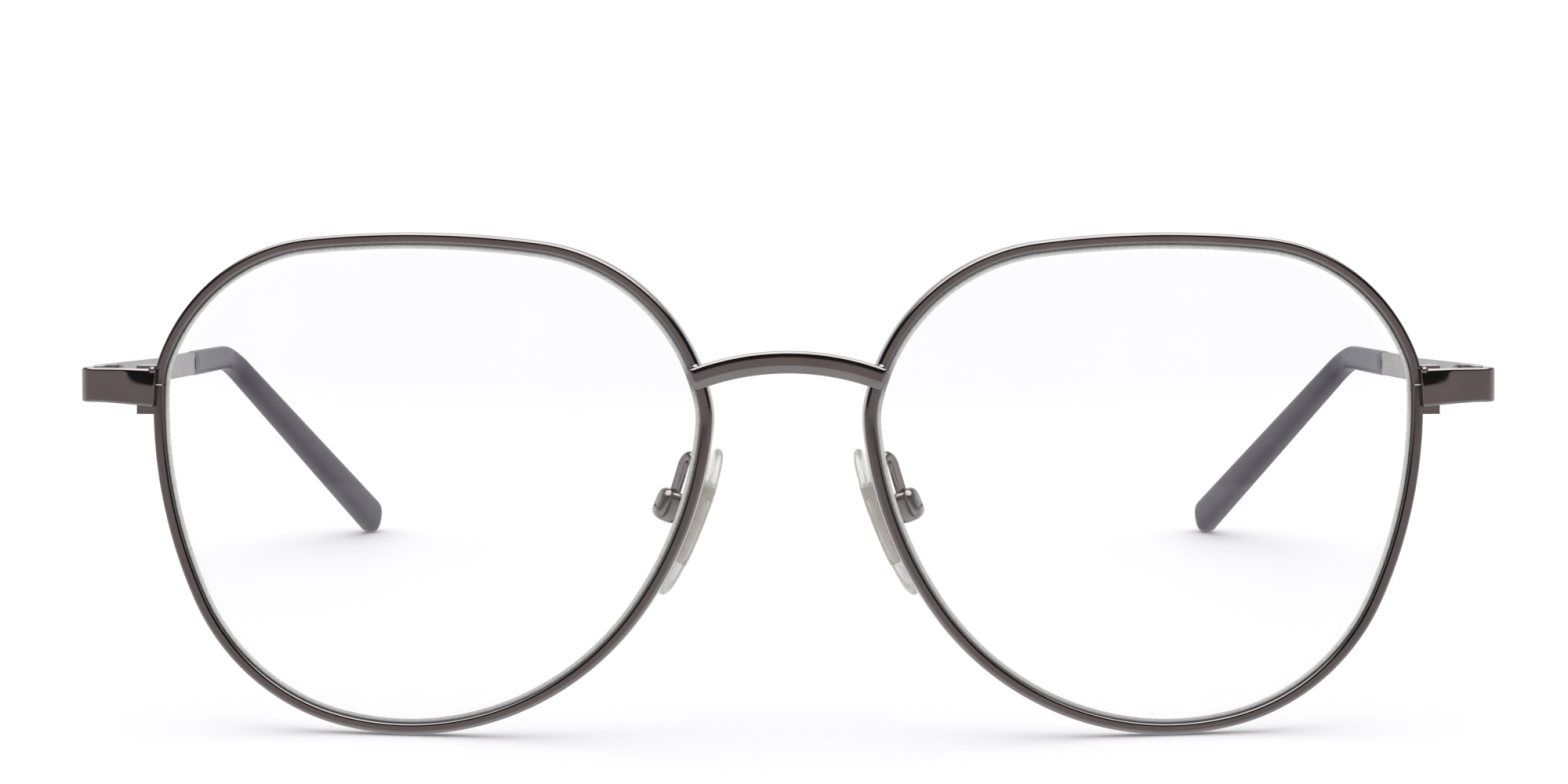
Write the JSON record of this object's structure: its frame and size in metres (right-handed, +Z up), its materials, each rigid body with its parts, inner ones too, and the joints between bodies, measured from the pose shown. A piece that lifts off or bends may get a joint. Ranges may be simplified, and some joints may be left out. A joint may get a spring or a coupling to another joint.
{
  "type": "spectacles",
  "caption": "Full-rim wire spectacles with rounded lenses, arched bridge, adjustable nose pads and folding temples with moulded tips, standing open.",
  "frame": {"origin": "middle of the footprint, on the table the open spectacles stand on", "axes": "+X to the wearer's left, +Y back along the temples, +Z up from the table"},
  "size_m": [0.1402, 0.1474, 0.0495],
  "materials": {
    "frame_metal": "satin gunmetal plating",
    "temple_metal": "satin gunmetal plating, paler inside",
    "arm_metal": "polished gunmetal plating",
    "hinge_metal": "polished",
    "screw_metal": "polished",
    "lens": "clear, polished, with a frosted edge",
    "temple_tip": "glossy, slate purple",
    "nose_pad": "clear, soft",
    "pad_insert": "translucent tan"
  },
  "bodies": {
    "front": {"bridge": "frame_metal", "left_rim": "frame_metal", "right_rim": "frame_metal", "left_lens": "lens", "right_lens": "lens", "left_end_piece": "frame_metal", "right_end_piece": "frame_metal", "left_upper_rim_lock": "frame_metal", "right_upper_rim_lock": "frame_metal", "left_lower_rim_lock": "frame_metal", "right_lower_rim_lock": "frame_metal", "left_rim_lock_screw": "screw_metal", "right_rim_lock_screw": "screw_metal", "left_front_hinge_leaf": "hinge_metal", "right_front_hinge_leaf": "hinge_metal", "left_hinge_screw": "screw_metal", "right_hinge_screw": "screw_metal", "left_pad_arm": "arm_metal", "right_pad_arm": "arm_metal", "left_pad_screw": "screw_metal", "right_pad_screw": "screw_metal"},
    "left_temple": {"left_temple_hinge_leaf": "hinge_metal", "left_temple": "temple_metal", "left_temple_tip": "temple_tip"},
    "right_temple": {"right_temple_hinge_leaf": "hinge_metal", "right_temple": "temple_metal", "right_temple_tip": "temple_tip"},
    "left_pad": {"left_nose_pad": "nose_pad", "left_pad_insert": "pad_insert"},
    "right_pad": {"right_nose_pad": "nose_pad", "right_pad_insert": "pad_insert"}
  },
  "joints": [
    {"name": "left_temple_fold", "type": "hinge", "parent": "front", "child": "left_temple", "pos_m": [0.06748, -0.05792, 0.03361], "axis": [-0.0008, 0.0846, 0.9964], "range_deg": [0, 82]},
    {"name": "right_temple_fold", "type": "hinge", "parent": "front", "child": "right_temple", "pos_m": [-0.06748, -0.05792, 0.03361], "axis": [-0.0008, -0.0846, -0.9964], "range_deg": [0, 72]},
    {"name": "left_pad_rock", "type": "hinge", "parent": "front", "child": "left_pad", "pos_m": [0.01176, -0.06535, 0.02219], "axis": [0.255, 0.9662, 0.0373], "range_deg": [-6, 6]},
    {"name": "right_pad_rock", "type": "hinge", "parent": "front", "child": "right_pad", "pos_m": [-0.01176, -0.06535, 0.02219], "axis": [0.255, -0.9662, -0.0373], "range_deg": [-6, 6]}
  ]
}
